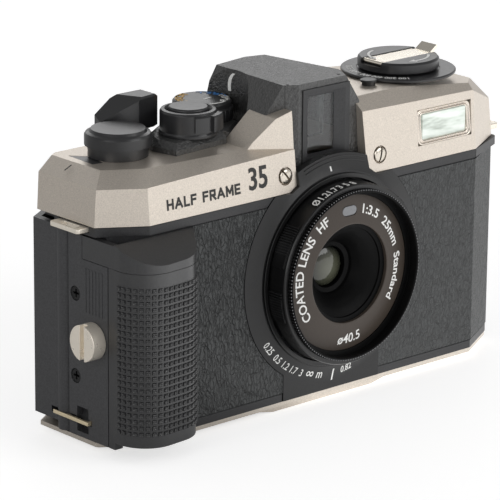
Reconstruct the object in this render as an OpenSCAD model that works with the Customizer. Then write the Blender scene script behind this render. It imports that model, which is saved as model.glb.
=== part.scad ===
// Half frame film camera as separate parts. Units are millimetres.
// Front faces -Y, up is +Z, the rewind and flash end is +X.
// The origin is the mouth of the tripod socket.

/* [Body] */
// Grip end of the body
body_left = -66.5; // [-70:0.1:-60]
// Rewind end of the body
body_right = 60.5; // [55:0.1:65]
// Front plane of the body
front_y = -14; // [-18:0.1:-10]
// Rear plane of the body
rear_y = 18.5; // [15:0.1:24]
// Top of the metal base
base_top = 2.55; // [2:0.05:4]
// Lower edge of the top cover
cover_low = 53.6; // [50:0.1:56]
// Top plane of the cover on the grip side
deck_z = 64.75; // [62:0.05:68]
// Top plane of the cover on the flash side
flash_deck = 71.8; // [70:0.1:74]
// Top of the finder housing
hump_top = 78; // [74:0.1:82]

/* [Lens] */
// Lens axis, left to right
lens_x = 0.65; // [-3:0.05:3]
// Lens axis, height
lens_z = 32.6; // [28:0.1:36]
// Outer radius of the focus ring
focus_r = 21.9; // [21.5:0.1:22.1]
// Filter thread radius
filter_r = 19.98; // [18:0.01:22]
// Front plane of the lens
lens_front = -22.2; // [-26:0.1:-18]

/* [Controls] */
// Advance lever axis, left to right
lever_x = -48.4; // [-52:0.05:-44]
// Advance lever axis, front to rear
lever_y = 6.2; // [4:0.05:9]
// Shutter button axis, left to right
shutter_x = -29.7; // [-32:0.05:-28]
// Shutter button axis, front to rear
shutter_y = 3.3; // [1:0.05:5]
// Mode dial axis, left to right
mode_x = -18.05; // [-19:0.05:-17]
// Mode dial axis, front to rear
mode_y = 11.95; // [11:0.05:13]
// Rewind knob axis, left to right
rewind_x = 37.35; // [34:0.05:40]
// Rewind knob axis, front to rear
rewind_y = 2.8; // [1:0.05:5]
// Coin screw axis, front to rear
coin_y = -6.9; // [-8:0.05:-6]
// Coin screw axis, height
coin_z = 27.1; // [22:0.05:32]

/* [Fits] */
// Running clearance of turning shafts
run = 0.05; // [0.01:0.01:0.1]
// Gap between separate fixed pieces
gap = 0.05; // [0.02:0.01:0.1]

/* [Hidden] */
$fn = 64;
big = 200;
lever_xy = [lever_x, lever_y];
shutter_xy = [shutter_x, shutter_y];
mode_xy = [mode_x, mode_y];
rewind_xy = [rewind_x, rewind_y];
coin_yz = [coin_y, coin_z];
lock_xy = [21.7, -3.1];
sprocket_xy = [-27.5, 2.6];
battery_xy = [-55.2, -14.6];
recess_xy = [-21, 9.2];
recess_r = 11.3;
dial_room_r = 7.9;
hinge_xy = [-64.6, 4.9];
hinge_r = 2.3;
pin_r = 0.95;
cartridge_r = 13.2;
spool_r = 10.6;
battery_r = 7.75;
skin = 1.7;
chamber_x = 22;
film_y = 8;
film_low = lens_z - 17.5;
film_high = lens_z + 17.5;
plinth_top = 67.4;
grip_low = 4.5;
grip_seam = 45.5;
panel_back = front_y + skin - gap;
side_screw_z = [36.7, 17.0];
lug_y0 = -6.4;
lug_y1 = 3.8;
lug_z0 = 54.6;
lug_z1 = 56.1;
front_screw_xz = [[-14.4, 57.7], [15.8, 57.7]];
base_screw_xy = [[-52, 12], [-52, -8], [46, 12], [46, -8]];

// ---------- shared shapes ----------

function plan(d = 0) = [
  [body_left + d, 13.3 - 0.4 * d], [body_left + d, -7.25 + 0.6 * d],
  [-55.9 + 0.4 * d, front_y + d], [48 - 0.4 * d, front_y + d],
  [body_right - d, -7 + 0.6 * d], [body_right - d, 13.3 - 0.4 * d],
  [52.5 - 0.4 * d, rear_y - d], [-58.5 + 0.4 * d, rear_y - d]
];

// Removes everything beyond the plane through a, b and c, away from the point keep.
module cut3(a, b, c, keep) {
  n = cross(b - a, c - a);
  side = n * (keep - a) > 0 ? -1 : 1;
  m = side * n / norm(n);
  translate(a)
    rotate([0, acos(m[2]), atan2(m[1], m[0])])
      translate([-big, -big, 0])
        cube([2 * big, 2 * big, big]);
}

module slab(z0, z1, d = 0) {
  translate([0, 0, z0])
    linear_extrude(z1 - z0)
      polygon(plan(d));
}

module box(a, b) {
  translate(a)
    cube(b - a);
}

module post(xy, z0, z1, r) {
  translate([xy[0], xy[1], z0])
    cylinder(h = z1 - z0, r = r);
}

// A solid of revolution about the lens axis. Profile points are [radius, y].
module lens_turn(profile) {
  translate([lens_x, 0, lens_z])
    rotate([90, 0, 0])
      rotate_extrude($fn = 128)
        polygon([for (p = profile) [p[0], -p[1]]]);
}

module lens_disc(r, y0, y1) {
  translate([lens_x, y1, lens_z])
    rotate([90, 0, 0])
      cylinder(h = y1 - y0, r = r, $fn = 128);
}

// A bar along Y with its outline given as [x, z] points.
module y_bar(points, y0, y1) {
  translate([0, y1, 0])
    rotate([90, 0, 0])
      linear_extrude(y1 - y0)
        polygon(points);
}

module slot_screw(r, h, slot_w, slot_d, turn) {
  difference() {
    cylinder(h = h, r = r, $fn = 48);
    rotate([0, 0, turn])
      translate([-2 * r, -slot_w / 2, h - slot_d])
        cube([4 * r, slot_w, slot_d + 1]);
  }
}

// ---------- body ----------

module chassis() {
  color("#1b1b1d")
    difference() {
      body_moulding();
      box([chamber_x, -30, 0], [80, 30, 70]);
    }
}

// The end of the moulding that holds the film cartridge.
module film_chamber() {
  color("#1b1b1d")
    difference() {
      body_moulding();
      box([-80, -30, 0], [chamber_x + gap, 30, 70]);
    }
}

module body_moulding() {
  difference() {
    slab(base_top + 0.02, cover_low - 0.3, skin);
    // room behind the door and around its hinge
    box([-62.3, 8.4, 4.2], [body_right + 5, 40, 52.2]);
    box([-70, 2.2, 2], [-61.5, 40, 52.2]);
    box([-70, -40, 2], [-64.6, 40, 60]);
    post(hinge_xy, 50, 60, pin_r + gap);
    // cartridge chamber and take-up chamber
    post(rewind_xy, 8.4, 60, cartridge_r);
    box([rewind_x - cartridge_r, rewind_y, 8.4], [rewind_x + cartridge_r, 20, 60]);
    post(lever_xy, 8.4, 52.2, spool_r);
    box([lever_x - 9.6, lever_y, 8.4], [lever_x + spool_r, 20, 52.2]);
    post(lever_xy, 40, 60, 2.2 + run);
    // sprocket pocket and its shaft
    post(sprocket_xy, 13.5, 52, 6.9);
    post(sprocket_xy, 2, 60, 1.5 + run);
    post(sprocket_xy, 2, 13.6, 3.4);
    // lens throat, gate and film channel
    lens_disc(21.6, -20, -4);
    lens_disc(17.5, -5, 1.5);
    box([lens_x - 8.5, -2, lens_z - 12], [lens_x + 8.5, 12, lens_z + 12]);
    box([-62, film_y, film_low - 0.4], [52, 12, film_high + 0.4]);
    // shaft room for the rewind fork
    post(rewind_xy, 2, 9, 2.6);
    // battery room, plate seat, screw holes, lug roots and tripod socket
    box([-66, -13, 4], [-60.5, -6.2, 48]);
    battery_room();
    side_holes(1.6 + run, [coin_yz]);
    side_holes(0.85, [for (z = side_screw_z) [-0.2, z]]);
    box([-66, -5.85, 6.0], [-62.3, -4.5, 7.5]);
    box([-66, -5.1, 51.9], [-64.2, 5.6, 54]);
    post([0, 0], 0, 7, 5.2);
  }
}

module battery_room() {
  post(battery_xy, 7.4, 36.6, battery_r + 0.3);
}

module side_holes(r, at) {
  for (p = at)
    translate([-70, p[0], p[1]])
      rotate([0, 90, 0])
        cylinder(h = 8.2, r = r, $fn = 48);
}

module deck_block() {
  z1 = 62.2;
  difference() {
    translate([0, 0, cover_low])
      linear_extrude(deck_z - cover_low)
        polygon([plan()[0], plan()[1], plan()[2], [-11.07, front_y],
                 [-11.07, rear_y], plan()[7]]);
    // draft of the side, the facet and the front
    cut3([body_left, 10, cover_low], [-65.5, 10, z1], [body_left, 0, cover_low], [-40, 3, 58]);
    cut3([body_left, -7.25, cover_low], [-65.5, -6.8, z1], [-55.9, front_y, cover_low], [-40, 3, 58]);
    cut3([-55.9, front_y, cover_low], [-55.5, -13, z1], [0, front_y, cover_low], [-40, 3, 58]);
    // chamfer of the side, the facet and the front
    cut3([-65.5, 10, z1], [-60.1, 10, deck_z], [-65.5, 0, z1], [-40, 3, 58]);
    cut3([-65.5, -6.8, z1], [-60.6, -1.4, deck_z], [-55.5, -13, z1], [-40, 3, 58]);
    cut3([-55.5, -13, z1], [-51.4, -7.05, deck_z], [-22.5, -8.96, deck_z], [-40, 3, 58]);
    // rear chamfer
    cut3([0, rear_y, z1], [0, rear_y - 1.4, deck_z], [-10, rear_y, z1], [-40, 3, 58]);
    cut3([body_left, 13.3, z1], [-58.5, rear_y, z1], [-59.6, 16.2, deck_z], [-40, 3, 58]);
  }
}

module shoulder_block() {
  difference() {
    y_bar([[-25, 60], [-11.07, 60], [-11.07, 72.5], [-15.2, 71], [-22.9, deck_z - 0.05]],
          front_y, -1);
    cut3([-11, front_y, cover_low], [-60, front_y, cover_low], [-11, -13, 62.2], [-13, -5, 62]);
    cut3([-30, -13, 62], [-30, -13, 70], [-11, -13, 62], [-13, -5, 62]);
    // sloping crest
    cut3([-22.5, -8.96, deck_z], [-20, -12.4, 66.4], [-16.2, -10.5, 71.4], [-13, -5, 62]);
    cut3([-16.2, -10.5, 71.4], [-11.07, -11.9, 72.3], [-11.07, -12.25, 68], [-13, -5, 62]);
  }
}

module middle_deck() {
  box([-11.2, -6.3, cover_low], [11.6, rear_y - 1, deck_z]);
}

module flash_block() {
  z1 = 68.4;
  difference() {
    translate([0, 0, cover_low])
      linear_extrude(flash_deck - cover_low)
        polygon([[10.2, front_y], plan()[3], plan()[4], plan()[5], plan()[6],
                 [10.2, rear_y]]);
    // notch corner and inner draft
    cut3([13.9, 0, cover_low], [11.4, 0, 55.4], [13.9, -10, cover_low], [35, 3, 60]);
    cut3([11.4, 0, 55.4], [10.4, 0, 68.9], [11.4, -10, 55.4], [35, 3, 60]);
    // draft of the front, the facet and the end
    cut3([0, front_y, cover_low], [0, -13, z1], [10, front_y, cover_low], [35, 3, 60]);
    cut3([48, front_y, cover_low], [47.6, -13, z1], [body_right, -7, cover_low], [35, 3, 60]);
    cut3([body_right, -7, cover_low], [59.4, -6.6, 64], [body_right, 10, cover_low], [35, 3, 60]);
    // front chamfer, falling deck, facet and end chamfers
    cut3([10.4, -13, 68.9], [10.4, -9.5, flash_deck], [48, -13, 68.3], [35, 3, 60]);
    cut3([26, -9.4, flash_deck], [26, 10, flash_deck], [50, -9.4, 69.5], [35, 3, 60]);
    cut3([47.5, -13, 68.2], [49.3, -9.6, 69.6], [59.3, -6.4, 63.6], [35, 3, 60]);
    cut3([59.3, -6.4, 63.6], [52.8, -6.4, 69.4], [59.3, 10, 63.6], [35, 3, 60]);
    // rear chamfer
    cut3([0, rear_y, 66], [-10, rear_y, 66], [0, rear_y - 2, flash_deck], [35, 3, 60]);
    cut3([body_right, 13.3, 62], [50.5, rear_y - 2, 69], [52.5, rear_y, 62], [35, 3, 60]);
  }
}

module top_cover() {
  color("#b8a995")
    difference() {
      union() {
        deck_block();
        shoulder_block();
        middle_deck();
        flash_block();
      }
      // inner hollows
      difference() {
        translate([0, 0, cover_low - 1])
          linear_extrude(9.2)
            polygon([[-63.6, 11.6], [-63.6, -5.6], [-54.6, -11.6], [-17.2, -11.6],
                     [-17.2, 16.2], [-57.6, 16.2]]);
        post(lever_xy, 50, 70, 4.2);
      }
      translate([0, 0, cover_low - 1])
        linear_extrude(9)
          polygon([[18.6, -11.2], [46.8, -11.2], [57.4, -5.2], [57.4, 11.6],
                   [51.2, 15.8], [18.6, 15.8]]);
      translate([0, 0, cover_low + 7])
        linear_extrude(6)
          polygon([[18.6, -11.2], [44, -11.2], [49.6, -7.6], [49.6, 13.6],
                   [47, 15.8], [18.6, 15.8]]);
      box([-9.4, -7, cover_low - 1], [9.4, 15.6, 62.6]);
      box([-8.6, -7, 60], [8.6, 15.6, 70]);
      // finder openings, front and rear
      box([-7.2, -8, 59], [8.2, -6, 70]);
      box([-6.2, 14, 60], [7.2, 30, 70]);
      // flash opening
      box([28.5, -20, 57.5], [46.6, -10, 66.2]);
      // screw seats
      for (p = front_screw_xz)
        translate([p[0], -12.6, p[1]])
          rotate([90, 0, 0])
            cylinder(h = 5, r = 2.15, $fn = 48);
      // root of the right strap lug
      box([57, lug_y0 - gap, lug_z0 - gap], [61, lug_y1 + gap, lug_z1 + gap]);
      // control shafts
      post(lever_xy, 50, 70, 2.2 + run);
      post(shutter_xy, 60, 70, 2.5);
      post(mode_xy, 57, 70, 2.2 + run);
      post(rewind_xy, 60, 80, 2.4 + run);
      post(lock_xy, 60, 80, 1.6 + run);
      counter_shape(0.05, 4);
      // slanted corner next to the lens panel
      y_bar([[-13.4, cover_low - 1], [-13.4, cover_low], [-11.07, 54.95], [-10, 54.95],
             [-10, cover_low - 1]], -20, -5);
    }
}

module counter_shape(grow, depth) {
  translate([0, 0, deck_z - depth])
    linear_extrude(depth + 0.1)
      polygon([[-58.2 - grow, 3.4 - grow], [-55.2 + grow, 3.0 - grow],
               [-54.6 + grow, 9.5 + grow], [-57.6 - grow, 12.8 + grow]]);
}

module counter_window() {
  color("#0b0b0c")
    intersection() {
      counter_shape(0, 1.6);
      box([-70, -20, 0], [0, 30, deck_z - 0.06]);
    }
}

module bottom_cover() {
  color("#b8a995")
    difference() {
      union() {
        hull() {
          slab(1.5, base_top, 0.3);
          slab(0.75, 0.76, 1.9);
        }
        y_bar([[-20.5, 0.8], [-16.5, 0], [15.5, 0], [19.5, 0.8], [19.5, 1.4], [-20.5, 1.4]],
              front_y + 1.6, 16);
      }
      post([0, 0], -1, 5, 5.0);
      post(sprocket_xy, -1, 5, 2.1 + run);
      for (p = base_screw_xy) {
        post(p, -1, 5, 0.9);
        post(p, -1, 1.7, 1.75);
      }
    }
}

module tripod_socket() {
  color("#9b9b9e")
    difference() {
      post([0, 0], 0, 6.6, 4.95);
      post([0, 0], -1, 5.6, 2.6);
    }
}

module base_screws() {
  color("#26262a")
    for (i = [0:3])
      translate([base_screw_xy[i][0], base_screw_xy[i][1], 0]) {
        translate([0, 0, 1.65])
          cylinder(h = 0.9, r = 0.85, $fn = 32);
        translate([0, 0, 1.7])
          rotate([180, 0, 0])
            slot_screw(1.65, 0.9, 0.5, 0.4, 20 + 47 * i);
      }
}

// Black front skin: frames the leather above and below.
module front_band(z0, z1, d) {
  difference() {
    slab(z0, z1, d);
    slab(0, 60, skin - 0.02);
    box([-80, 7.2, 0], [80, 40, 60]);
  }
}

module front_shell() {
  color("#161618")
    difference() {
      union() {
        front_band(base_top + 0.02, 52.0, 0.35);
        // strips under the cover and over the base
        front_band(51.4, cover_low - 0.15, 0.15);
        front_band(base_top + 0.02, 4.5, 0.15);
        // lip at the rewind end
        difference() {
          translate([0, 0, 51.4])
            linear_extrude(cover_low - 51.55)
              polygon([[48.4, -13.7], [60.8, -8.0], [61.5, -7.2], [61.5, 7.1], [59, 7.1],
                       [59, -5.5]]);
          slab(0, 60, skin - 0.02);
        }
      }
      // open for the lens panel and the finder notch
      lens_disc(28.05, -30, 10);
      box([-14.95, -30, 2], [16.25, 10, 20]);
      box([-10.9, -30, 40], [11.2, 10, 60]);
      // open behind the grip and for the side plate, hinge and lug
      box([-80, -30, 0], [-63.9, -3, 51.2]);
      box([-80, -40, 0], [-64.5, 40, 51.2]);
      box([-63.9, -11.5, 4], [-60.5, -6.2, 48]);
      box([-80, 0.4, 0], [-61.4, 40, 52.4]);
      box([-80, -5.1, 51.9], [-64.2, 5.6, 53.4]);
      post(hinge_xy, 50, 60, pin_r + gap);
      battery_room();
    }
}

module leather_ring_cut() {
  lens_disc(28.1, -30, 10);
}

module leather_grip_side() {
  color("#222224")
    difference() {
      y_bar([[-46.2, 4.75], [-14.9, 4.75], [-14.9, 20], [-12, 40], [-12, 51.15],
             [-46.2, 51.15]], front_y, front_y + 0.3);
      leather_ring_cut();
    }
}

module leather_flash_side() {
  color("#222224")
    difference() {
      intersection() {
        difference() {
          slab(4.75, 51.15, 0);
          slab(0, 60, 0.3);
        }
        box([11, -30, 0], [80, 13.6, 60]);
      }
      leather_ring_cut();
      box([-20, -30, 0], [16.2, 0, 15]);
    }
}

// Black cone around the lens with a skirt below and a filler in the notch.
module lens_panel() {
  color("#141416")
    difference() {
      union() {
        lens_turn([[22.75, panel_back], [28, panel_back], [28, -14.1], [25.2, -14.75],
                   [23.8, -15.35], [22.75, -15.35]]);
        box([-14.85, -14.1, 2.65], [16.15, -12.45, 15]);
        box([-10.85, -13.9, 48], [11.15, -12.45, 58.2]);
      }
      lens_disc(22.75, -30, 10);
      y_bar([[-40, cover_low - 0.05], [-13.27, cover_low - 0.05], [-11.02, 54.85],
             [-11.02, 80], [-40, 80]], -20, -5);
      y_bar([[40, cover_low - 0.05], [13.95, cover_low - 0.05], [11.35, 55.4], [10.33, 68.9],
             [10.33, 80], [40, 80]], -20, -5);
    }
}

module index_ring() {
  color("#101012")
    lens_turn([[22.3, panel_back], [22.7, panel_back], [22.7, -15.4], [23.4, -15.4],
               [23.4, -15.9], [22.3, -15.9]]);
}

module lens_tube() {
  color("#18181a")
    lens_turn([[17.2, -16.5], [20.4, -16.5], [20.4, -12.4], [21.5, -12.4], [21.5, -4.1],
               [17.2, -4.1]]);
}

module shutter_unit() {
  color("#2a2a2e")
    difference() {
      union() {
        lens_disc(16.9, -4.0, 1.2);
        lens_disc(12.5, -6.2, -3.9);
      }
      lens_disc(5.2, -20, 20);
    }
}

// ---------- grip ----------

module grip_plan() {
  hull() {
    translate([-58.4, -15.4])
      circle(r = 8.05, $fn = 96);
    translate([-53.6, -15.1])
      circle(r = 8.0, $fn = 96);
    polygon([[-66.3, -11.9], [-66.3, -10], [-43.3, -10], [-43.3, -14.2]]);
  }
}

module grip_column(z0, z1) {
  intersection() {
    translate([0, 0, z0])
      linear_extrude(z1 - z0)
        grip_plan();
    box([-70, -40, z0], [-43, front_y - 0.05, z1]);
  }
}

module grip_flank(z0, z1) {
  box([-66.3, -14.1, z0], [-64.0, -11.9, z1]);
}

module grip_shell() {
  color("#1a1a1c")
    difference() {
      union() {
        grip_column(grip_low, grip_seam - 0.1);
        grip_flank(2.7, grip_seam - 0.1);
      }
      // battery room, open towards the body
      post(battery_xy, grip_low + 1.5, grip_seam - 2, battery_r + 0.25);
      box([-63.9, -20, grip_low + 1.5], [-56, -11, grip_seam - 2]);
      box([-62.4, battery_xy[1], grip_low + 1.5], [-46.6, -10, grip_seam - 2]);
    }
}

module grip_pad() {
  color("#1d1d1f")
    intersection() {
      difference() {
        translate([0, 0, 7.0])
          linear_extrude(35.4)
            offset(r = 0.45)
              grip_plan();
        linear_extrude(60)
          offset(r = 0.02)
            grip_plan();
      }
      box([-65.3, -40, 0], [-43.0, -16.4, 60]);
    }
}

module grip_cap() {
  color("#1c1c1e")
    difference() {
      union() {
        grip_column(grip_seam, 51.2);
        box([-66.4, -14.1, grip_seam], [-64.7, -2.8, 50.9]);
      }
      // dished and sloping top
      translate([-55, -23.6, 47.2])
        rotate([24, 0, 0])
          translate([-30, -10, 0])
            cube([60, 60, 30]);
    }
}

module battery_cell() {
  color("#3b5d86")
    union() {
      post(battery_xy, 8, 35, battery_r);
      post(battery_xy, 34.9, 36, 3);
    }
}

module battery_cover() {
  rib_pitch = 1.15;
  color("#1a1a1c")
    difference() {
      union() {
        box([-66.4, -11.75, 2.75], [-64.75, 2.2, 50.9]);
        for (i = [0:5])
          box([-66.5, -9.9 + i * rib_pitch, 33], [-66.3, -9.4 + i * rib_pitch, 43.5]);
      }
      box([-70, -20, grip_seam - 0.15], [-60, -2.65, 60]);
      side_holes(1.6 + run, [coin_yz]);
      side_holes(1.75, [for (z = side_screw_z) [-0.2, z]]);
      // lug window, with a way out for the bar
      box([-70, -4.7, 3.9], [-60, -0.6, 9.9]);
      box([-70, -5.85, 6.05], [-60, 10, 7.45]);
    }
}

module coin_screw() {
  color("#c3b6a2")
    translate([body_left + 0.05, coin_y, coin_z])
      rotate([0, -90, 0]) {
        slot_screw(4.3, 3.6, 1.5, 1.3, 0);
        translate([0, 0, -4.2])
          cylinder(h = 4.3, r = 1.6, $fn = 48);
      }
}

module side_screws() {
  color("#101012")
    for (z = side_screw_z)
      translate([-64.7, -0.2, z])
        rotate([0, -90, 0])
          difference() {
            cylinder(h = 1.5, r = 1.65, $fn = 48);
            translate([0, 0, 0.9]) {
              cube([2.0, 0.45, 2], center = true);
              cube([0.45, 2.0, 2], center = true);
            }
          }
}

module front_screws() {
  color("#b9ab98")
    for (i = [0, 1])
      translate([front_screw_xz[i][0], -12.65, front_screw_xz[i][1]])
        rotate([90, 0, 0])
          slot_screw(2.05, 1.35, 0.55, 0.6, 40 - 110 * i);
}

// ---------- strap lugs ----------

module strap_lug_top() {
  color("#c9bca6")
    translate([0, 0, 52.1])
      linear_extrude(1.1)
        difference() {
          polygon([[-64.3, -4.9], [-68.9, -4.9], [-69.4, -4.4], [-69.4, 4.9], [-68.9, 5.4],
                   [-64.3, 5.4]]);
          translate([-68.6, -2.6])
            square([1.7, 5.6]);
        }
}

module strap_lug_bottom() {
  color("#c9a86a")
    union() {
      box([-67.4, -5.4, 6.3], [-66.6, 2.4, 7.2]);
      box([-67.4, -5.6, 6.3], [-62.5, -4.75, 7.2]);
      box([-67.4, 1.9, 6.3], [-66.95, 7.0, 7.2]);
    }
}

module strap_lug_right() {
  color("#c9bca6")
    translate([0, 0, lug_z0])
      linear_extrude(lug_z1 - lug_z0)
        difference() {
          polygon([[58.2, lug_y0], [63.2, lug_y0], [63.9, lug_y0 + 0.8], [63.9, lug_y1 - 0.8],
                   [63.2, lug_y1], [58.2, lug_y1]]);
          translate([61.2, lug_y0 + 1.9])
            square([1.6, lug_y1 - lug_y0 - 3.8]);
        }
}

// ---------- finder ----------

module hump_solid() {
  difference() {
    union() {
      translate([0, 0, 58.2])
        linear_extrude(hump_top - 58.2)
          polygon([[-11.0, -10.9], [11.3, -10.9], [11.3, 18.4], [-11.0, 18.4]]);
      translate([0, 0, deck_z + 0.05])
        linear_extrude(hump_top - deck_z - 0.05)
          polygon([[-14.6, -7.5], [-11, -9.2], [11.2, -9.2], [17.6, -6.9], [18.8, -3],
                   [18.8, 9], [14, 19], [-12, 19], [-15.4, 15], [-15.4, -6.5]]);
    }
    // front corners
    cut3([6.8, -10.9, hump_top], [9.5, -5.6, hump_top], [11.4, -10.0, 71.8], [0, 3, 70]);
    // sloping flanks
    cut3([9.5, -5.6, hump_top], [6, 16, hump_top], [18.0, -4, flash_deck], [0, 3, 70]);
    cut3([-11.4, -9.8, hump_top], [-14.6, -6.5, 71.8], [-9.7, 16.5, hump_top], [0, 3, 70]);
    cut3([-8.2, -10.9, hump_top], [-8.2, -10.9, 60], [-14.8, -7.2, 71.8], [0, 3, 70]);
    // rear
    cut3([0.7, 18.0, hump_top], [-9.7, 16.3, hump_top], [0.7, 19.4, 70], [0, 3, 70]);
    cut3([0.7, 18.0, hump_top], [0.7, 19.4, 70], [6, 16.6, hump_top], [0, 3, 70]);
    // room for the mode dial
    post(mode_xy, plinth_top - 3, 90, dial_room_r);
    post(recess_xy, plinth_top - 3, 90, recess_r);
  }
}

module finder_cover() {
  color("#161618")
    difference() {
      hump_solid();
      // the metal cover
      cover_envelope();
      // finder tunnel and window seat
      box([-7.0, -12, 58.5], [8.0, -9.4, 76.5]);
      box([-6.0, -10, 59.5], [7.2, 16.6, 75.6]);
      box([-5.2, 16, 61.9], [6.2, 30, 72.9]);
      box([-6.7, 18.5, 58.5], [7.7, 30, 75.1]);
      // corner holes
      for (x = [-10.2, 6.0])
        post([x, -9.2], hump_top - 1, hump_top + 1, 0.4);
    }
}

// Outline of the metal cover with its hollows filled, cut from the housing on top.
module cover_envelope() {
  deck_block();
  shoulder_block();
  box([-11.2, -6.3, cover_low - 1], [11.6, rear_y + 3, deck_z]);
  flash_block();
  box([-17, -13, 50], [-11.05, 0, 66]);
}

module finder_frame() {
  color("#0e0e10")
    difference() {
      box([-6.95, -11.2, 58.55], [7.95, -9.5, 76.45]);
      box([-4.8, -20, 60.6], [3.6, -5, 74.3]);
      // glass seat behind
      box([-5.25, -10.25, 60.15], [4.05, -5, 74.75]);
      // bevels in front
      translate([0, 0, 59.8])
        linear_extrude(15.4)
          polygon([[-5.6, -11.3], [-4.7, -10.3], [3.5, -10.3], [6.9, -11.3]]);
    }
}

module finder_window() {
  color("#8f9aa0")
    box([-5.2, -10.2, 60.2], [4.0, -9.45, 74.7]);
}

module finder_optics() {
  color("#3a3d44")
    union() {
      box([-4.6, -4.4, 62.8], [5.6, -2.0, 75.2]);
      box([-4.6, 6.0, 64.9], [5.6, 9.4, 75.2]);
      box([-5.7, -8.9, 59.7], [-5.0, 15.4, 62.4]);
    }
}

module eyepiece_frame() {
  color("#131315")
    difference() {
      union() {
        box([-6.6, 18.55, 58.6], [7.6, 20.0, 75.0]);
        box([-6.1, 19.9, 61.3], [7.1, 21.5, 73.5]);
      }
      box([-5.1, 10, 62.2], [6.1, 40, 72.6]);
    }
}

module eyepiece_lens() {
  color("#8f9aa0")
    box([-5.05, 18.7, 62.25], [6.05, 20.2, 72.55]);
}

module flash_bezel() {
  color("#c8bba7")
    difference() {
      box([28.55, -13.9, 57.55], [46.55, -11.4, 66.15]);
      box([30.3, -20, 58.2], [45.0, -5, 64.9]);
      box([29.5, -20, 57.9], [45.7, -13.2, 65.4]);
    }
}

module flash_window() {
  color("#cfe0d6")
    box([30.4, -13.1, 58.3], [44.9, -12.1, 64.8]);
}

module flash_reflector() {
  color("#dcdcdc")
    difference() {
      box([30.4, -11.9, 58.3], [44.9, -5.2, 64.8]);
      translate([0, -11.9, 61.55])
        rotate([0, 90, 0])
          cylinder(h = 100, r = 5.6, $fn = 96);
      translate([30.9, -11.95, 58.7])
        cube([13.5, 2.4, 5.7]);
    }
}

module flash_tube() {
  color("#e8eef0")
    translate([31.4, -9.1, 61.55])
      rotate([0, 90, 0])
        cylinder(h = 12.5, r = 1.3, $fn = 48);
}

module flash_capacitor() {
  color("#22252b")
    translate([20.6, 10.6, 60.6])
      rotate([0, 90, 0])
        cylinder(h = 28, r = 4.4, $fn = 64);
}

module circuit_board() {
  color("#2e5a3a")
    difference() {
      box([-52, -11.2, 55.0], [-17.6, 15.6, 56.0]);
      post(lever_xy, 50, 60, 8.6);
      post(shutter_xy, 50, 60, 4.4);
      post(mode_xy, 50, 60, 3.2);
    }
}

// ---------- top controls ----------

module control_plinth() {
  color("#151517")
    difference() {
      hull() {
        translate([0, 0, deck_z + 0.02])
          linear_extrude(1.2)
            polygon([[-40.6, 3.2], [-39.2, -3.6], [-21.6, -2.3], [-12.6, 3.6],
                     [-12.6, 13.6], [-16, 16.6], [-27, 16.6], [-38.2, 9.4]]);
        translate([0, 0, plinth_top - 0.02])
          linear_extrude(0.02)
            polygon([[-39.2, 3.0], [-38.0, -2.2], [-22.0, -0.9], [-13.9, 4.4],
                     [-13.9, 12.9], [-16.5, 15.3], [-26.6, 15.3], [-36.9, 8.5]]);
      }
      post(mode_xy, 60, 70, 2.2 + run);
      post(shutter_xy, 60, 70, 2.5);
      box([-22.95, -10, 60], [-10, -0.95, 80]);
      hump_floor();
    }
}

// Keeps the plinth clear of the finder housing outside the dial recess.
module hump_floor() {
  difference() {
    box([-15.4, -10, 60], [0, 20, 70]);
    post(mode_xy, 60, 90, dial_room_r - gap);
    post(recess_xy, 60, 90, recess_r - gap);
  }
}

module advance_lever() {
  color("#141416")
    union() {
      // hub with a wide cap
      translate([lever_x, lever_y, 0])
        rotate_extrude($fn = 96)
          polygon([[0, 57], [2.2, 57], [2.2, deck_z + 0.06], [7.0, deck_z + 0.06],
                   [7.0, 67.3], [7.8, 67.4], [7.8, 69.7], [7.5, 70.2], [6.7, 70.5],
                   [6.3, 71.15], [0, 71.2]]);
      // arm
      translate([0, 0, 67.7])
        linear_extrude(1.9)
          polygon([[-50, 12.4], [-44, 8.2], [-40.3, 10.2], [-33.4, 12.4], [-31.4, 14],
                   [-33, 17.6], [-40, 17.4], [-47.2, 14.6]]);
      // raised thumb piece with a ramp towards the hub
      difference() {
        translate([0, 0, 67.7])
          linear_extrude(7.75)
            polygon([[-47.9, 13.3], [-38.2, 10.9], [-33.0, 11.7], [-31.0, 12.8],
                     [-30.3, 14.6], [-30.8, 17.0], [-32.6, 18.2], [-40, 17.9],
                     [-47.0, 16.4]]);
        cut3([-47.4, 13.9, 71.2], [-40.2, 16.2, 75.0], [-37.9, 10.9, 74.9], [-38, 13, 68]);
        cut3([-38, 11.4, 75.5], [-31, 12.4, 75.5], [-38, 10.8, 74.8], [-38, 13, 68]);
        cut3([-32.6, 10, 75.5], [-32.6, 20, 75.5], [-30.4, 14, 74.2], [-38, 13, 68]);
        cut3([-38, 17.2, 75.5], [-31, 17.2, 75.5], [-38, 18.2, 73.5], [-38, 13, 68]);
      }
    }
}

module shutter_button() {
  color("#1a1a1c")
    translate([shutter_x, shutter_y, 0])
      rotate_extrude($fn = 96)
        polygon([[0, 62], [2.4, 62], [2.4, 72.0], [4.55, 72.0], [4.7, 72.3], [4.7, 73.5],
                 [4.4, 73.85], [0, 73.95]]);
}

module power_switch() {
  color("#141416")
    difference() {
      translate([shutter_x, shutter_y, 0]) {
        rotate_extrude($fn = 96)
          polygon([[2.5, plinth_top + 0.03], [6.95, plinth_top + 0.03], [6.95, 68.0],
                   [6.7, 68.4], [6.7, 72.7], [6.4, 73.2], [5.6, 73.3], [4.9, 72.2],
                   [4.9, 70.6], [2.5, 70.6]]);
        // finger tab
        tab_sector(-118, 72, 7.45);
        tab_sector(-84, 34, 8.25);
      }
      post(shutter_xy, 60, 80, 2.5);
      post(shutter_xy, 70.7, 80, 4.85);
    }
}

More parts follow.
